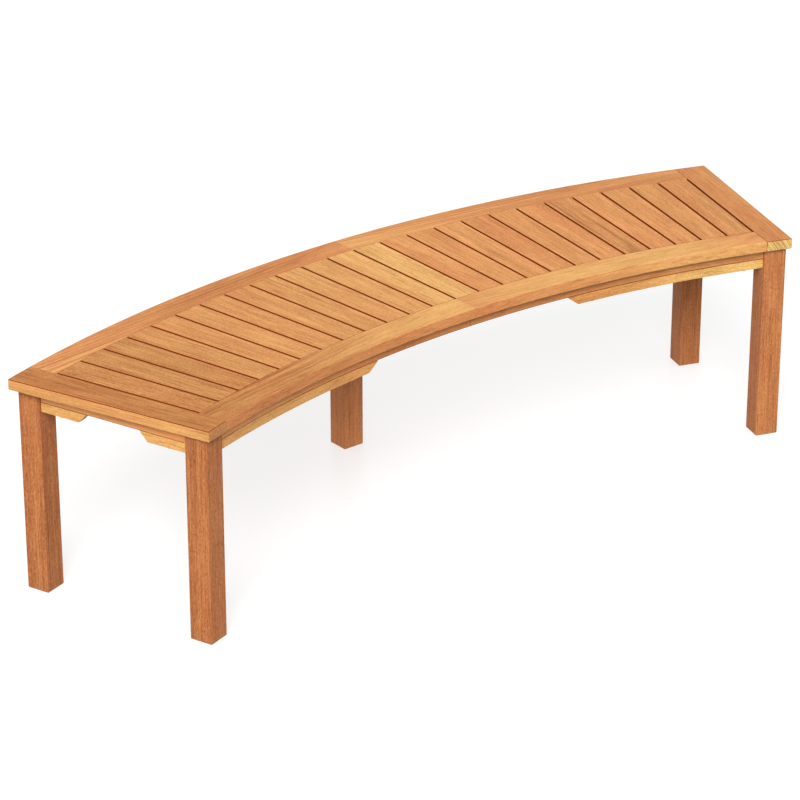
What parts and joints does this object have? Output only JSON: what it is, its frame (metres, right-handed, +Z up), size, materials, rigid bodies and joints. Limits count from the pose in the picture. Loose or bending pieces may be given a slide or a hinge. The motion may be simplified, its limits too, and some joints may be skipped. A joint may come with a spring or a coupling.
{
  "type": "curved garden bench",
  "caption": "Backless curved wooden garden bench: flat slatted seat between arc-shaped rails and end boards, on square legs with aprons and bevelled cleats.",
  "frame": {"origin": "on the floor, at the centre of the bench's box seen from above", "axes": "+Z up, +X along the length, +Y from the concave side to the convex side"},
  "size_m": [1.8138, 0.5898, 0.45],
  "materials": {
    "slat_wood": "oiled",
    "rail_wood": "oiled",
    "leg_wood": "oiled",
    "apron_wood": "oiled",
    "cleat_wood": "oiled",
    "dowel_wood": "oiled",
    "fastener_steel": "zinc plated"
  },
  "bodies": {
    "root": {"centre_cleat_left": "cleat_wood", "centre_cleat_right": "cleat_wood", "centre_leg": "leg_wood", "cleat_bolts": "fastener_steel", "cleat_dowels": "dowel_wood", "cleat_washers": "fastener_steel", "cross_rail": "apron_wood", "cross_rail_dowels": "dowel_wood", "end_apron_left": "apron_wood", "end_apron_right": "apron_wood", "end_board_left": "rail_wood", "end_board_right": "rail_wood", "frame_screws": "fastener_steel", "inner_apron_left": "apron_wood", "inner_apron_right": "apron_wood", "inner_end_cleat_left": "cleat_wood", "inner_end_cleat_right": "cleat_wood", "inner_leg_left": "leg_wood", "inner_leg_right": "leg_wood", "inner_rail_left": "rail_wood", "inner_rail_right": "rail_wood", "inner_side_cleat_left": "cleat_wood", "inner_side_cleat_right": "cleat_wood", "outer_apron_left": "apron_wood", "outer_apron_right": "apron_wood", "outer_end_cleat_left": "cleat_wood", "outer_end_cleat_right": "cleat_wood", "outer_leg_left": "leg_wood", "outer_leg_right": "leg_wood", "outer_rail_left": "rail_wood", "outer_rail_right": "rail_wood", "outer_side_cleat_left": "cleat_wood", "outer_side_cleat_right": "cleat_wood", "rail_joint_dowels": "dowel_wood", "slat_01": "slat_wood", "slat_02": "slat_wood", "slat_03": "slat_wood", "slat_04": "slat_wood", "slat_05": "slat_wood", "slat_06": "slat_wood", "slat_07": "slat_wood", "slat_08": "slat_wood", "slat_09": "slat_wood", "slat_10": "slat_wood", "slat_11": "slat_wood", "slat_12": "slat_wood", "slat_13": "slat_wood", "slat_14": "slat_wood", "slat_15": "slat_wood", "slat_16": "slat_wood", "slat_17": "slat_wood", "slat_18": "slat_wood", "slat_19": "slat_wood", "slat_20": "slat_wood", "slat_21": "slat_wood", "slat_22": "slat_wood", "slat_23": "slat_wood", "slat_24": "slat_wood", "threaded_inserts": "fastener_steel"}
  },
  "joints": []
}
